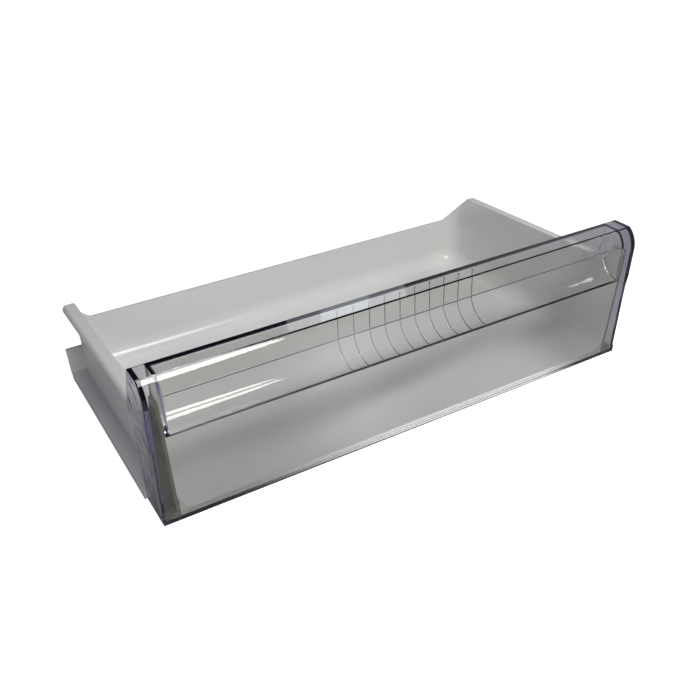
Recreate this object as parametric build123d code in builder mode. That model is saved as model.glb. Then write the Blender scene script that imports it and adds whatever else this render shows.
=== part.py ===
import os
from math import acos, asin, cos, degrees, hypot, radians, sin, tan

from build123d import *

# Overall size, in millimetres: the face of the front, the ledge of its handle, and nose to rear rim.
front_width = 454.0
overall_height = 128.0
overall_depth = 252.0

# Tray: a drafted tub, open at the front, with sides that rise towards the mouth and a low back.
tray_wall = 2.5
mouth_height = 94.0
side_height = 84.5
rear_height = 55.0
floor_lift = 4.5
wall_draft = 2.5
corner_radius = 19.0
floor_radius = 15.0
shoulder_inset = 15.0
shoulder_run = 29.0
shoulder_turn = 31.0

# Slides of the tray: the top flange with its lip, and the runner ledge with its skirt and rear lug.
flange_overhang = 0.5
flange_lip = 6.0
flange_radius = 4.0
runner_overhang = 2.0
lug_height = 28.0
lug_lean = 7.0

# Clear front: one moulding of even wall, with a face that leans out towards the top.
panel_wall = 2.5
face_lean = 3.4
band_overhang = 1.5
band_step = 10.0
return_depth = 36.0
return_height = 92.0
foot_height = 7.0
foot_step = 0.6

# Handle across the clear front: flat ledge, round nose that ends in a lip, and a cove behind the lip.
nose_radius = 21.0
nose_turn = 34.0
lip_height = 14.0
cove_height = 46.5
cove_depth = 24.0
cove_radius = 23.0
cove_crown = 2.0
cove_end = 1.6
edge_radius = 0.8

# Grip ribs in the middle of the cove.
rib_count = 10
rib_pitch = 14.3
rib_width = 1.2
rib_rise = 0.8
rib_round = 0.4
rib_sweep = 84.0

# Fit of the clear front on the tray: raised ends of the sides, ears, sill and hook, snap bumps.
fit_gap = 0.4
cheek_length = 12.0
cheek_spread = 40.0
ear_reach = 4.8
ear_back = 12.0
sill_depth = 9.0
bump_length = 14.0
bump_catch = 1.2
bump_depth = 2.5
bump_spread = 32.0

front_half = front_width / 2
band_half = front_half + band_overhang
flange_half = front_half + flange_overhang
runner_half = front_half + runner_overhang
return_half = front_half - panel_wall
ear_half = return_half - fit_gap
front_y = -overall_depth / 2
rear_y = overall_depth / 2
floor_top = floor_lift + tray_wall
beyond = 2 * (front_width + overall_height + overall_depth)

# The nose is the foremost point. Its arc runs on into the face below and meets the ledge in a crease.
nose_y = front_y + nose_radius
nose_z = overall_height - nose_radius * cos(radians(nose_turn))
ridge_y = nose_y - nose_radius * sin(radians(nose_turn))
ledge_rear = front_y + cove_depth + panel_wall
cove_z = overall_height - cove_height
lip_z = overall_height - lip_height
cove_centre = (front_y + cove_depth - cove_radius, cove_z + cove_radius)


def wall_half(z):
    """Outer half-width of the drafted tub at a height."""
    mouth_half = ear_half - ear_reach
    return mouth_half - (mouth_height - z) * tan(radians(wall_draft))


def face_y(z, inset):
    """Depth of the leaning face at a height, set back from the outer skin."""
    radius = nose_radius - inset
    chin = nose_y - radius * cos(radians(face_lean))
    return chin + (nose_z - radius * sin(radians(face_lean)) - z) * tan(radians(face_lean))


def crease_angle(inset):
    """Angle of the nose's arc where it meets the ledge, set back from the outer skin."""
    return 90 + degrees(acos((overall_height - inset - nose_z) / (nose_radius - inset)))


def crease_point(inset):
    """Depth and height of that meeting line."""
    angle = radians(crease_angle(inset))
    radius = nose_radius - inset
    return nose_y + radius * cos(angle), nose_z + radius * sin(angle)


def nose_line(inset, low):
    """Draw the face and the nose, set back from the outer skin, and return their two ends."""
    radius = nose_radius - inset
    chin_z = nose_z - radius * sin(radians(face_lean))
    foot = (face_y(low, inset), low)
    Line(foot, (face_y(chin_z, inset), chin_z))
    CenterArc((nose_y, nose_z), radius, crease_angle(inset), 180 + face_lean - crease_angle(inset))
    return foot, crease_point(inset)


return_rear = face_y(0, 0) + return_depth
slide_front = return_rear + fit_gap
shoulder_y = rear_y - shoulder_run * cos(radians(shoulder_turn))
cove_half = wall_half(cove_z - panel_wall) - tray_wall - fit_gap - panel_wall
seat_inset = panel_wall + fit_gap
sill_rear = face_y(floor_lift, seat_inset) + sill_depth
hook_front = sill_rear + fit_gap
hook_rear = hook_front + panel_wall
side_rise = (mouth_height - side_height) / (shoulder_y - face_y(mouth_height, seat_inset))
side_way = (0, -1, side_rise)


def ear_y(z):
    """Depth of the front of the leaning ears at a height."""
    return face_y(z, seat_inset) + ear_back


def side_top(y):
    """Height of the rising top of the sides at a depth."""
    return side_height + (shoulder_y - y) * side_rise


# The room inside the tray, which runs out past its open front.
with BuildPart() as tub_room:
    room_half = wall_half(floor_top) - tray_wall
    room_rear = rear_y - tray_wall - (rear_height - floor_top) * tan(radians(wall_draft))
    room_front = front_y - 2 * floor_radius
    with BuildSketch(Plane.XY.offset(floor_top)) as room_plan:
        with Locations((0, (room_front + room_rear) / 2)):
            Rectangle(2 * room_half, room_rear - room_front)
        fillet(room_plan.vertices().group_by(Axis.Y)[-1], radius=corner_radius - tray_wall)
    extrude(amount=overall_height, taper=-wall_draft)
    fillet(tub_room.edges().group_by(Axis.Z)[0], radius=floor_radius)

# What is cut off above the back and above the slope that turns each rear corner up to the side.
with BuildPart() as shoulder_cut:
    slope_way = (sin(radians(shoulder_turn)), -cos(radians(shoulder_turn)), 0)
    slope_face = (-cos(radians(shoulder_turn)), -sin(radians(shoulder_turn)), 0)
    slope_start = (wall_half(rear_height) - shoulder_inset, rear_y, 0)
    with BuildSketch(Plane(origin=slope_start, x_dir=slope_way, z_dir=slope_face)):
        with BuildLine():
            Polyline(
                (-beyond, rear_height),
                (0, rear_height),
                (shoulder_run, side_height),
                (shoulder_run, beyond),
                (-beyond, beyond),
                close=True,
            )
        make_face()
    extrude(amount=beyond, both=True)
    split(bisect_by=Plane.YZ, keep=Keep.TOP)
    mirror(about=Plane.YZ)

# A leaning ear on each side, behind the tray's mouth, which the clear front snaps over.
with BuildPart() as mouth_ears:
    with BuildSketch(Plane.YZ):
        with BuildLine():
            Polyline(
                (ear_y(floor_lift), floor_lift),
                (ear_y(mouth_height), mouth_height),
                (ear_y(mouth_height) + tray_wall, mouth_height),
                (ear_y(floor_lift) + tray_wall, floor_lift),
                close=True,
            )
        make_face()
    extrude(amount=ear_half, both=True)
    with BuildSketch(Plane.XZ):
        with BuildLine():
            Polyline(
                (wall_half(floor_lift) - tray_wall / 2, floor_lift),
                (wall_half(mouth_height) - tray_wall / 2, mouth_height),
                (ear_half, mouth_height),
                (ear_half, floor_lift),
                close=True,
            )
        make_face()
        mirror(about=Plane.YZ)
    extrude(amount=beyond, both=True, mode=Mode.INTERSECT)

# Each side ends in a raised cheek, which reaches up into the end of the clear front.
with BuildPart() as mouth_cheeks:
    cheek_top = nose_z - (nose_radius - seat_inset) * sin(radians(face_lean))
    cheek_front = face_y(cheek_top, seat_inset)
    with BuildSketch(Plane.XZ):
        with BuildLine():
            Polyline(
                (wall_half(floor_top) - tray_wall, floor_top),
                (wall_half(floor_top), floor_top),
                (wall_half(cheek_top), cheek_top),
                (wall_half(cheek_top) - tray_wall, cheek_top),
                close=True,
            )
        make_face()
        mirror(about=Plane.YZ)
    extrude(amount=beyond, both=True)
    with BuildSketch(Plane.YZ):
        with BuildLine():
            Polyline(
                (face_y(floor_top, seat_inset), floor_top),
                (cheek_front, cheek_top),
                (cheek_front + cheek_length, cheek_top),
                (cheek_front + cheek_length + cheek_spread, floor_top),
                close=True,
            )
        make_face()
    extrude(amount=beyond, both=True, mode=Mode.INTERSECT)

with BuildPart() as drawer_tray:
    # Solid tub, wider and longer towards the top.
    tub_rear = rear_y - (rear_height - floor_lift) * tan(radians(wall_draft))
    with BuildSketch(Plane.XY.offset(floor_lift)) as tub_plan:
        with Locations((0, (front_y + tub_rear) / 2)):
            Rectangle(2 * wall_half(floor_lift), tub_rear - front_y)
        fillet(tub_plan.vertices().group_by(Axis.Y)[-1], radius=corner_radius)
    extrude(amount=overall_height - floor_lift, taper=-wall_draft)

    # Its sides rise towards the mouth, and its back is low.
    with BuildSketch(Plane.YZ):
        with BuildLine():
            Polyline(
                (rear_y + overall_depth, side_top(rear_y + overall_depth)),
                (front_y - overall_depth, side_top(front_y - overall_depth)),
                (front_y - overall_depth, beyond),
                (rear_y + overall_depth, beyond),
                close=True,
            )
        make_face()
    extrude(amount=beyond, both=True, mode=Mode.SUBTRACT)
    add(shoulder_cut.part, mode=Mode.SUBTRACT)

    # Top flange with its turned-down lip, from the shoulder up to the clear front.
    flange_root = wall_half(side_height) - tray_wall / 2
    with BuildSketch(Plane.XZ.offset(-shoulder_y)):
        with BuildLine():
            Line((flange_root, side_height), (flange_half - flange_radius, side_height))
            bend = (flange_half - flange_radius, side_height - flange_radius)
            CenterArc(bend, flange_radius, 0, 90)
            Polyline(
                (flange_half, side_height - flange_radius),
                (flange_half, side_height - flange_lip),
                (flange_half - tray_wall, side_height - flange_lip),
                (flange_half - tray_wall, side_height - flange_radius),
            )
            CenterArc(bend, flange_radius - tray_wall, 0, 90)
            Polyline(
                (flange_half - flange_radius, side_height - tray_wall),
                (flange_root, side_height - tray_wall),
                (flange_root, side_height),
            )
        make_face()
        mirror(about=Plane.YZ)
    extrude(amount=(shoulder_y - slide_front) * hypot(1, side_rise), dir=side_way)

    # Runner ledge level with the floor, with a skirt that the drawer slides on.
    runner_root = wall_half(floor_lift) - corner_radius / 2
    lug_foot = rear_y - lug_lean - tray_wall
    with BuildSketch(Plane.XZ.offset(-lug_foot)):
        with BuildLine():
            Polyline(
                (runner_root, floor_top),
                (runner_half, floor_top),
                (runner_half, 0),
                (runner_half - tray_wall, 0),
                (runner_half - tray_wall, floor_lift),
                (runner_root, floor_lift),
                close=True,
            )
        make_face()
        mirror(about=Plane.YZ)
    extrude(amount=lug_foot - slide_front)

    # The ledge turns up at the rear into a lug that stops the drawer.
    lug_root = wall_half(floor_lift) - corner_radius - tray_wall
    with BuildSketch(Plane.YZ.offset(lug_root)):
        with BuildLine():
            Polyline(
                (lug_foot - tray_wall, floor_lift),
                (lug_foot - tray_wall, floor_top),
                (lug_foot, floor_top),
                (rear_y - tray_wall, lug_height),
                (rear_y, lug_height),
                (lug_foot + tray_wall, floor_lift),
                close=True,
            )
        make_face()
    lug = extrude(amount=runner_half - lug_root)
    mirror(lug, about=Plane.YZ)

    # Inside the clear front the ledge and the flange are narrower, and a sill rib hangs under the floor.
    with BuildSketch(Plane.XZ.offset(-slide_front)):
        with Locations((0, (floor_lift + floor_top) / 2)):
            Rectangle(2 * ear_half, tray_wall)
    extrude(amount=slide_front - ear_y(floor_top))
    with BuildSketch(Plane.XZ.offset(-slide_front)):
        with Locations((0, side_top(slide_front) - tray_wall / 2)):
            Rectangle(2 * ear_half, tray_wall)
    extrude(amount=(slide_front - ear_y(mouth_height)) * hypot(1, side_rise), dir=side_way)
    with BuildSketch(Plane.XZ.offset(-sill_rear)):
        with Locations((0, (panel_wall + fit_gap + floor_top) / 2)):
            Rectangle(2 * ear_half, floor_top - panel_wall - fit_gap)
    extrude(amount=sill_rear - front_y)

    # The mouth leans with the clear front.
    with BuildSketch(Plane.YZ):
        with BuildLine():
            Polyline(
                (face_y(0, seat_inset), 0),
                (face_y(overall_height, seat_inset), overall_height),
                (front_y - overall_depth, overall_height),
                (front_y - overall_depth, 0),
                close=True,
            )
        make_face()
    extrude(amount=beyond, both=True, mode=Mode.SUBTRACT)
    add(mouth_ears.part)
    add(tub_room.part, mode=Mode.SUBTRACT)
    add(mouth_cheeks.part)

# The room of the handle's cove, open to the front below the lip and rounded where it meets its ends.
with BuildPart() as cove_room:
    with BuildSketch(Plane.YZ):
        with BuildLine():
            lip_radius = nose_radius - panel_wall
            lip_rise = asin((lip_z - nose_z) / lip_radius)
            crease = crease_angle(panel_wall)
            CenterArc((nose_y, nose_z), lip_radius, crease, 180 - degrees(lip_rise) - crease)
            FilletPolyline(
                crease_point(panel_wall),
                (front_y + cove_depth, overall_height - panel_wall),
                (front_y + cove_depth, cove_centre[1]),
                radius=cove_crown,
            )
            CenterArc(cove_centre, cove_radius, -90, 90)
            Polyline(
                (cove_centre[0], cove_z),
                (front_y - overall_depth, cove_z),
                (front_y - overall_depth, lip_z),
                (nose_y - lip_radius * cos(lip_rise), lip_z),
            )
        make_face()
    extrude(amount=cove_half, both=True)
    end_arcs = cove_room.edges().filter_by(GeomType.CIRCLE).filter_by(lambda edge: edge.center().Y > ridge_y)
    fillet(end_arcs, radius=cove_end)

# One grip rib, which follows the back and the floor of the cove.
with BuildPart() as grip_rib:
    with BuildSketch(Plane.YZ):
        with BuildLine():
            rib_back = front_y + cove_depth
            rib_top = overall_height - 2 * panel_wall
            Line((rib_back, cove_centre[1]), (rib_back, rib_top))
            Line((rib_back, rib_top), (rib_back - rib_rise, rib_top - rib_rise))
            Line((rib_back - rib_rise, rib_top - rib_rise), (rib_back - rib_rise, cove_centre[1]))
            CenterArc(cove_centre, cove_radius - rib_rise, 0, -rib_sweep)
            CenterArc(cove_centre, cove_radius, 0, -rib_sweep)
            Line(
                (
                    cove_centre[0] + cove_radius * cos(radians(rib_sweep)),
                    cove_centre[1] - cove_radius * sin(radians(rib_sweep)),
                ),
                (
                    cove_centre[0] + (cove_radius - rib_rise) * cos(radians(rib_sweep)),
                    cove_centre[1] - (cove_radius - rib_rise) * sin(radians(rib_sweep)),
                ),
            )
        make_face()
    extrude(amount=rib_width / 2, both=True)
    crest_edges = grip_rib.edges().filter_by(GeomType.CIRCLE).filter_by(lambda edge: edge.radius < cove_radius)
    fillet(crest_edges, radius=rib_round)

with BuildPart() as front_panel:
    # Side view of the whole front: foot, leaning face, nose, ledge and the rear edge of the returns.
    with BuildSketch(Plane.YZ):
        with BuildLine():
            foot, ridge = nose_line(0, 0)
            Polyline(
                ridge,
                (ledge_rear, overall_height),
                (return_rear, return_height),
                (return_rear, 0),
                foot,
            )
        make_face()
    extrude(amount=band_half, both=True)

    # Below the handle the ends step in.
    with BuildSketch(Plane.XZ):
        with BuildLine():
            Polyline(
                (front_half, -foot_height),
                (front_half, cove_z - band_step),
                (band_half, cove_z),
                (band_half + band_overhang, cove_z),
                (band_half + band_overhang, -foot_height),
                close=True,
            )
        make_face()
        mirror(about=Plane.YZ)
    extrude(amount=beyond, both=True, mode=Mode.SUBTRACT)
    end_edges = front_panel.edges().filter_by(lambda edge: abs(edge.center().X) > front_half - edge_radius)
    fillet(
        end_edges.filter_by(
            lambda edge: edge.center().Y < ridge_y or edge.center().Z > overall_height - edge_radius
        ),
        radius=edge_radius,
    )

    # The back is open: an even wall is left at the face, the ledge, the ends and the bottom.
    with BuildSketch(Plane.YZ):
        with BuildLine():
            inner_foot, inner_ridge = nose_line(panel_wall, panel_wall)
            Polyline(
                inner_ridge,
                (ledge_rear, overall_height - panel_wall),
                (ledge_rear, overall_height + panel_wall),
                (rear_y, overall_height + panel_wall),
                (rear_y, panel_wall),
                inner_foot,
            )
        make_face()
    extrude(amount=return_half, both=True, mode=Mode.SUBTRACT)

    # The bottom wall reaches back under the sill and ends in an upturned hook behind it.
    with BuildSketch(Plane.YZ):
        with BuildLine():
            Polyline(
                (hook_rear, -panel_wall),
                (hook_rear, panel_wall),
                (rear_y, panel_wall),
                (rear_y, -panel_wall),
                close=True,
            )
        make_face()
    extrude(amount=return_half, both=True, mode=Mode.SUBTRACT)
    with BuildSketch(Plane.YZ):
        with Locations(((hook_front + hook_rear) / 2, (floor_lift - fit_gap) / 2)):
            Rectangle(panel_wall, floor_lift - fit_gap)
    extrude(amount=return_half, both=True)

    # Wall behind the cove, from the face round to the rear of the ledge.
    with BuildSketch(Plane.YZ):
        with BuildLine():
            Line(
                (cove_centre[0] - overall_depth, cove_z - panel_wall),
                (cove_centre[0], cove_z - panel_wall),
            )
            CenterArc(cove_centre, cove_radius + panel_wall, -90, 90)
            Polyline(
                (ledge_rear, cove_centre[1]),
                (ledge_rear, overall_height),
                (cove_centre[0] - overall_depth, overall_height),
                (cove_centre[0] - overall_depth, cove_z - panel_wall),
            )
        make_face()
        with BuildLine():
            low_foot, top_ridge = nose_line(0, 0)
            Polyline(top_ridge, (rear_y, overall_height), (rear_y, 0), low_foot)
        make_face(mode=Mode.INTERSECT)
    extrude(amount=cove_half + panel_wall, both=True)

    # The cove itself, open to the front below the lip.
    add(cove_room.part, mode=Mode.SUBTRACT)
    long_edges = front_panel.edges().filter_by(Axis.X)
    lip_edges = long_edges.filter_by(lambda edge: abs(edge.center().Z - lip_z) < fit_gap)
    brim_edges = long_edges.filter_by(lambda edge: abs(edge.center().Z - cove_z) < fit_gap)
    fillet(lip_edges + brim_edges, radius=edge_radius)

    # A slightly proud foot runs along the bottom of the face.
    with BuildSketch(Plane.YZ):
        with BuildLine():
            Polyline(
                (face_y(0, -foot_step), 0),
                (face_y(foot_height, -foot_step), foot_height),
                (face_y(foot_height, panel_wall), foot_height),
                (face_y(0, panel_wall), 0),
                close=True,
            )
        make_face()
    extrude(amount=front_half, both=True)

    with GridLocations(rib_pitch, 0, rib_count, 1):
        add(grip_rib.part)

    # Snap bumps on the inside of each return, just behind the ears of the tray.
    bump_z = (floor_top + side_height - tray_wall) / 2
    for level in (bump_z - bump_spread / 2, bump_z + bump_spread / 2):
        bump_y = ear_y(level - bump_length / 2) + tray_wall + fit_gap
        with BuildSketch(Plane.XY.offset(level - bump_length / 2)):
            with BuildLine():
                Polyline(
                    (return_half + panel_wall / 2, bump_y),
                    (ear_half - bump_catch, bump_y),
                    (return_half, bump_y + bump_depth),
                    (return_half + panel_wall / 2, bump_y + bump_depth),
                    close=True,
                )
            make_face()
            mirror(about=Plane.YZ)
        extrude(amount=bump_length)

drawer_tray.part.label = "drawer_tray"
front_panel.part.label = "front_panel"

os.makedirs("parts", exist_ok=True)
export_step(drawer_tray.part, "parts/drawer_tray.step")
export_step(front_panel.part, "parts/front_panel.step")
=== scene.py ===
from math import radians

import bpy
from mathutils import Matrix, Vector

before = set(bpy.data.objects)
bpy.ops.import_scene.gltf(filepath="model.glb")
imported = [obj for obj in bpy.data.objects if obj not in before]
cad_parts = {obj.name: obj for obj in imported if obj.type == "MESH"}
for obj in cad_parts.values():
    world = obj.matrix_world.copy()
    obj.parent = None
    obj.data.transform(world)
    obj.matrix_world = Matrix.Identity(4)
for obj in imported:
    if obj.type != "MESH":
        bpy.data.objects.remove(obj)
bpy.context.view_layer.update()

scene = bpy.context.scene
white = (1, 1, 1, 1)


# a link where the source is a socket, or else a value set on the socket
def feed(tree, source, socket):
    if isinstance(source, bpy.types.NodeSocket):
        tree.links.new(source, socket)
    else:
        socket.default_value = source


# a node with its settings and inputs, in one line
def addNode(tree, kind, **settings):
    node = tree.nodes.new(kind)
    for name, value in settings.items():
        if name in node.inputs:
            feed(tree, value, node.inputs[name])
        else:
            setattr(node, name, value)
    return node


def addMath(tree, operation, *terms):
    node = addNode(tree, "ShaderNodeMath", operation=operation)
    for term, socket in zip(terms, node.inputs):
        feed(tree, term, socket)
    return node.outputs[0]


# 0 at low and 1 at high, which may be the smaller of the two
def addRamp(tree, value, low, high, shape="SMOOTHSTEP"):
    node = addNode(tree, "ShaderNodeMapRange", interpolation_type=shape, Value=value)
    node.inputs["From Min"].default_value = low
    node.inputs["From Max"].default_value = high
    return node.outputs["Result"]


def addMix(tree, kind, factor, first, second):
    node = addNode(tree, "ShaderNodeMix", data_type=kind, Factor=factor, A=first, B=second)
    return node.outputs["Result"]


def addAxes(tree, vector):
    return addNode(tree, "ShaderNodeSeparateXYZ", Vector=vector).outputs


def newGroup(name, inputs, outputs):
    group = bpy.data.node_groups.new(name, "ShaderNodeTree")
    for label in inputs:
        group.interface.new_socket(label, in_out="INPUT", socket_type="NodeSocketFloat")
    for label in outputs:
        group.interface.new_socket(label, in_out="OUTPUT", socket_type="NodeSocketFloat")
    return group, addNode(group, "NodeGroupInput"), addNode(group, "NodeGroupOutput")


def newMaterial(name):
    material = bpy.data.materials.new(name)
    material.use_nodes = True
    tree = material.node_tree
    tree.nodes.clear()
    shader = addNode(tree, "ShaderNodeBsdfPrincipled")
    addNode(tree, "ShaderNodeOutputMaterial", name="output", Surface=shader.outputs["BSDF"])
    return material, tree, shader


# fine scuffs and finger smudges of a part that is handled every day
marksLook = {
    "scuffTurn": (0.3, 0.2, 0.7),
    "scuffStretch": (1.0, 14.0, 9.0),
    "scuffDetail": 4.0,
    "scuffBreak": 0.7,
    "scuffRange": (0.62, 0.74),
    "smudgeDetail": 3.0,
    "smudgeBreak": 0.55,
    "smudgeRange": (0.3, 0.8),
}


def handlingMarks():
    group, start, end = newGroup(
        "handlingMarks", ["scuffSize", "smudgeSize", "smooth", "worn"], ["roughness"])
    place = addNode(group, "ShaderNodeTexCoord").outputs["Object"]
    smudge = addNode(group, "ShaderNodeTexNoise", Vector=place, Scale=start.outputs["smudgeSize"],
                     Detail=marksLook["smudgeDetail"], Roughness=marksLook["smudgeBreak"])
    stretch = addNode(group, "ShaderNodeMapping", Vector=place, Rotation=marksLook["scuffTurn"],
                      Scale=marksLook["scuffStretch"])
    scuff = addNode(group, "ShaderNodeTexNoise", Vector=stretch.outputs["Vector"],
                    Scale=start.outputs["scuffSize"], Detail=marksLook["scuffDetail"],
                    Roughness=marksLook["scuffBreak"])
    scuffLines = addRamp(group, scuff.outputs["Fac"], *marksLook["scuffRange"], "LINEAR")
    softMask = addRamp(group, smudge.outputs["Fac"], *marksLook["smudgeRange"], "LINEAR")
    both = addMath(group, "MAXIMUM", scuffLines, softMask)
    mixed = addMix(group, "FLOAT", both, start.outputs["smooth"], start.outputs["worn"])
    feed(group, mixed, end.inputs["roughness"])
    return group


marks = handlingMarks()


def addMarks(tree, look):
    smooth, worn = look["roughness"]
    node = addNode(tree, "ShaderNodeGroup", node_tree=marks, scuffSize=look["scuffSize"],
                   smudgeSize=look["smudgeSize"], smooth=smooth, worn=worn)
    return node.outputs["roughness"]


# tray: pale moulded plastic with a fine spark-eroded grain, and painted shade on the ears near the
# front
trayLook = {
    "pale": (0.80, 0.80, 0.785, 1),
    "shade": (0.74, 0.74, 0.725, 1),
    "cloudSize": 7.0,
    "cloudDetail": 3.0,
    "grainSize": 900.0,
    "grainDetail": 2.0,
    "grainHeight": 0.00006,
    "grainStrength": 0.5,
    "roughness": (0.14, 0.23),
    "scuffSize": 40.0,
    "smudgeSize": 11.0,
    "ior": 1.5,
    "paintedShadeTone": (0.235, 0.222, 0.165, 1),
    "paintedShadeFront": -0.1,
    "paintedShadeSide": 0.2125,
    "paintedShadeOutward": -0.06,
    "paintedShadeBackward": 0.5,
}


# painted shade: a dark olive tone on the ears' faces near the front that face neither inward nor
# backward, where the clear front covers them
def paintedShadeStrip(tree, place):
    axes = addAxes(tree, place)
    facing = addAxes(tree, addNode(tree, "ShaderNodeNewGeometry").outputs["Normal"])
    across = addMath(tree, "ABSOLUTE", axes["X"])
    nearSide = addMath(tree, "GREATER_THAN", across, trayLook["paintedShadeSide"])
    nearFront = addMath(tree, "LESS_THAN", axes["Y"], trayLook["paintedShadeFront"])
    outward = addMath(tree, "MULTIPLY", facing["X"], axes["X"])
    facesOut = addMath(tree, "GREATER_THAN", outward, trayLook["paintedShadeOutward"])
    facesFront = addMath(tree, "LESS_THAN", facing["Y"], trayLook["paintedShadeBackward"])
    corner = addMath(tree, "MULTIPLY", nearSide, nearFront)
    seen = addMath(tree, "MULTIPLY", facesOut, facesFront)
    return addMath(tree, "MULTIPLY", corner, seen)


def trayPlastic():
    material, tree, shader = newMaterial("trayPlastic")
    place = addNode(tree, "ShaderNodeTexCoord").outputs["Object"]
    cloud = addNode(tree, "ShaderNodeTexNoise", Vector=place, Scale=trayLook["cloudSize"],
                    Detail=trayLook["cloudDetail"])
    tint = addMix(tree, "RGBA", cloud.outputs["Fac"], trayLook["pale"], trayLook["shade"])
    # painted shade: those ear faces get the dark olive tone in place of the pale plastic
    tone = addMix(tree, "RGBA", paintedShadeStrip(tree, place), tint, trayLook["paintedShadeTone"])
    grain = addNode(tree, "ShaderNodeTexNoise", Vector=place, Scale=trayLook["grainSize"],
                    Detail=trayLook["grainDetail"])
    bump = addNode(tree, "ShaderNodeBump", Height=grain.outputs["Fac"],
                   Strength=trayLook["grainStrength"], Distance=trayLook["grainHeight"])
    feed(tree, tone, shader.inputs["Base Color"])
    feed(tree, addMarks(tree, trayLook), shader.inputs["Roughness"])
    feed(tree, bump.outputs["Normal"], shader.inputs["Normal"])
    shader.inputs["IOR"].default_value = trayLook["ior"]
    return material


# front: clear plastic, faintly violet, that turns navy where light runs along the wall
clearLook = {
    "ior": 1.5,
    "skin": (0.95, 0.955, 0.905, 1),
    "deep": (0.42, 0.40, 0.74, 1),
    "depth": 30.0,
    "shadow": (0.42, 0.415, 0.395, 1),
    "roughness": (0.012, 0.03),
    "scuffSize": 60.0,
    "smudgeSize": 9.0,
    "endStart": 0.2145,
    "endFade": 0.012,
    "endTint": (0.76, 0.755, 0.93, 1),
    "endRoughness": 0.16,
    "waveSize": 34.0,
    "waveDetail": 2.0,
    "waveStrength": 1.0,
    "waveHeight": 0.0012,
}


# the ends are cloudy and wavy, where the melt flowed round the corners
def cloudyEnds(tree):
    place = addNode(tree, "ShaderNodeTexCoord").outputs["Object"]
    across = addMath(tree, "ABSOLUTE", addAxes(tree, place)["X"])
    start = clearLook["endStart"]
    ends = addRamp(tree, across, start, start + clearLook["endFade"])
    cloud = addNode(tree, "ShaderNodeTexNoise", Vector=place, Scale=clearLook["waveSize"],
                    Detail=clearLook["waveDetail"])
    return addMath(tree, "MULTIPLY", ends, cloud.outputs["Fac"])


def clearPlastic():
    material, tree, shader = newMaterial("clearPlastic")
    output = tree.nodes["output"]
    patch = cloudyEnds(tree)
    tint = addMix(tree, "RGBA", patch, clearLook["skin"], clearLook["endTint"])
    rough = addMix(tree, "FLOAT", patch, addMarks(tree, clearLook), clearLook["endRoughness"])
    wave = addNode(tree, "ShaderNodeBump", Height=patch, Strength=clearLook["waveStrength"],
                   Distance=clearLook["waveHeight"])
    body = addNode(tree, "ShaderNodeVolumeAbsorption", Color=clearLook["deep"],
                   Density=clearLook["depth"])
    feed(tree, tint, shader.inputs["Base Color"])
    feed(tree, rough, shader.inputs["Roughness"])
    feed(tree, wave.outputs["Normal"], shader.inputs["Normal"])
    shader.inputs["Transmission Weight"].default_value = 1.0
    shader.inputs["IOR"].default_value = clearLook["ior"]
    # lamps shine through the wall instead of casting a black shadow
    path = addNode(tree, "ShaderNodeLightPath")
    through = addNode(tree, "ShaderNodeBsdfTransparent", Color=clearLook["shadow"])
    pick = addNode(tree, "ShaderNodeMixShader", Fac=path.outputs["Is Shadow Ray"])
    feed(tree, shader.outputs["BSDF"], pick.inputs[1])
    feed(tree, through.outputs["BSDF"], pick.inputs[2])
    feed(tree, pick.outputs["Shader"], output.inputs["Surface"])
    feed(tree, body.outputs["Volume"], output.inputs["Volume"])
    return material


def dress(name, material):
    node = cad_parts[name]
    node.data.materials.clear()
    node.data.materials.append(material)


dress("drawer_tray", trayPlastic())
dress("front_panel", clearPlastic())
print("materials on the tray and the clear front")

# pale floor, with a painted reflection: a patch in front of the drawer that glows only in mirror
# images
floorLook = {
    "size": 12.0,
    "drop": 0.0005,
    "tone": (0.5, 0.5, 0.5, 1),
    "roughness": 0.9,
    "cameraGlow": 0.97,
    "reflectionGlow": 1.1,
    "glowPatchFront": -0.168,
    "glowPatchSlant": 0.153,
    "glowPatchLeft": -0.09,
    "glowPatchRight": 0.165,
    "frontFade": 0.012,
    "leftFade": 0.09,
    "rightFade": 0.03,
}


# the glowing patch of the painted reflection ends in a slanting line, and fades out to both sides
def reflectionGlowPatch(tree):
    axes = addAxes(tree, addNode(tree, "ShaderNodeTexCoord").outputs["Object"])
    slant = addMath(tree, "MULTIPLY_ADD", axes["X"], floorLook["glowPatchSlant"], axes["Y"])
    edge, fade = floorLook["glowPatchFront"], floorLook["frontFade"]
    front = addRamp(tree, slant, edge - fade, edge + fade)
    edge, fade = floorLook["glowPatchLeft"], floorLook["leftFade"]
    left = addRamp(tree, axes["X"], edge - fade, edge + fade)
    edge, fade = floorLook["glowPatchRight"], floorLook["rightFade"]
    right = addRamp(tree, axes["X"], edge + fade, edge - fade)
    strip = addMath(tree, "MULTIPLY", left, right)
    return addMath(tree, "MULTIPLY", front, strip)


def layFloor():
    half = floorLook["size"] / 2
    corners = [(-half, -half, 0), (half, -half, 0), (half, half, 0), (-half, half, 0)]
    mesh = bpy.data.meshes.new("studioFloor")
    mesh.from_pydata(corners, [], [(0, 1, 2, 3)])
    floor = bpy.data.objects.new("studioFloor", mesh)
    floor.location.z = -floorLook["drop"]
    scene.collection.objects.link(floor)
    material, tree, shader = newMaterial("studioPaper")
    shader.inputs["Base Color"].default_value = floorLook["tone"]
    shader.inputs["Roughness"].default_value = floorLook["roughness"]
    shader.inputs["Emission Color"].default_value = white
    # white for the camera everywhere, and a painted reflection: glow in mirror images where the
    # patch lies
    path = addNode(tree, "ShaderNodeLightPath")
    glow = addMath(tree, "MULTIPLY", reflectionGlowPatch(tree), floorLook["reflectionGlow"])
    mirrored = addMath(tree, "MULTIPLY", glow, path.outputs["Is Glossy Ray"])
    shine = addMix(tree, "FLOAT", path.outputs["Is Camera Ray"], mirrored, floorLook["cameraGlow"])
    feed(tree, shine, shader.inputs["Emission Strength"])
    mesh.materials.append(material)


layFloor()

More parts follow.
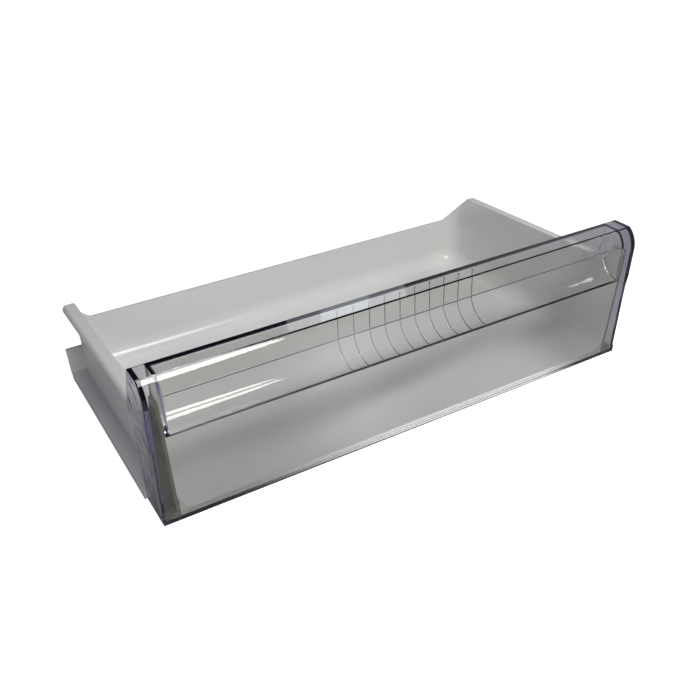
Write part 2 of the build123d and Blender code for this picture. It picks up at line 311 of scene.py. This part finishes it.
# soft boxes: the key in front and above, one to the right, two faint ones behind, a fill to the left
lamps = {
    "keyBox": {"spot": (0.0, -0.82, 1.415), "aim": (0, -0.05, 0.05), "size": (0.91, 0.64),
               "power": 15.2, "tint": (1, 0.99, 0.965)},
    "rightBox": {"spot": (1.52, -0.22, 1.28), "aim": (0.1, 0, 0.05), "size": (0.5, 0.55),
                 "power": 4.5, "tint": (1, 1, 1)},
    "rearBox": {"spot": (0.72, 1.26, 0.99), "aim": (0, 0, 0.1), "size": (0.14, 0.4),
                "power": 0.14, "tint": (0.85, 0.91, 1.0)},
    "rearGlow": {"spot": (0.76, 1.32, 1.04), "aim": (0, 0, 0.1), "size": (0.36, 0.45),
                 "power": 0.38, "tint": (0.85, 0.91, 1.0)},
    "leftFill": {"spot": (-1.3, -0.95, 0.55), "aim": (-0.1, 0, 0.05), "size": (1.3, 1.0),
                 "power": 5.0, "tint": (1, 0.99, 0.96)},
}


def softBox(name, spot, aim, size, power, tint):
    data = bpy.data.lights.new(name, "AREA")
    data.shape = "ELLIPSE"
    data.size, data.size_y = size
    data.energy = power
    data.color = tint
    lamp = bpy.data.objects.new(name, data)
    lamp.location = spot
    way = Vector(aim) - Vector(spot)
    lamp.rotation_euler = way.to_track_quat("-Z", "Y").to_euler()
    scene.collection.objects.link(lamp)


for lampName, lampLook in lamps.items():
    softBox(lampName, **lampLook)

# the room is dim, with a window to the right in mirror images, and a white backdrop for the camera
roomLook = {
    "dim": (0.042, 0.04, 0.075, 1),
    "window": (0.5, 0.5, 0.56, 1),
    "windowRange": (0.35, 0.7),
}


def lightRoom():
    world = bpy.data.worlds.new("dimRoom")
    scene.world = world
    world.use_nodes = True
    tree = world.node_tree
    path = addNode(tree, "ShaderNodeLightPath")
    axes = addAxes(tree, addNode(tree, "ShaderNodeTexCoord").outputs["Generated"])
    side = addRamp(tree, axes["X"], *roomLook["windowRange"])
    inMirrors = addMath(tree, "SUBTRACT", 1.0, path.outputs["Is Diffuse Ray"])
    window = addMath(tree, "MULTIPLY", inMirrors, side)
    room = addMix(tree, "RGBA", window, roomLook["dim"], roomLook["window"])
    tone = addMix(tree, "RGBA", path.outputs["Is Camera Ray"], room, white)
    feed(tree, tone, tree.nodes["Background"].inputs["Color"])


lightRoom()
print("floor and lights")

# camera at the photo's angle
view = {
    "spot": (-0.34243, -0.60185, 0.44058),
    "turn": (58.405, 1.376, -30.829),
    "lens": 44.22,
    "sensor": 36.0,
}


def placeCamera():
    data = bpy.data.cameras.new("viewCamera")
    data.lens = view["lens"]
    data.sensor_width = view["sensor"]
    camera = bpy.data.objects.new("viewCamera", data)
    camera.location = view["spot"]
    camera.rotation_euler = [radians(angle) for angle in view["turn"]]
    scene.collection.objects.link(camera)
    scene.camera = camera
    scene.view_settings.view_transform = "Standard"


placeCamera()
print("camera")
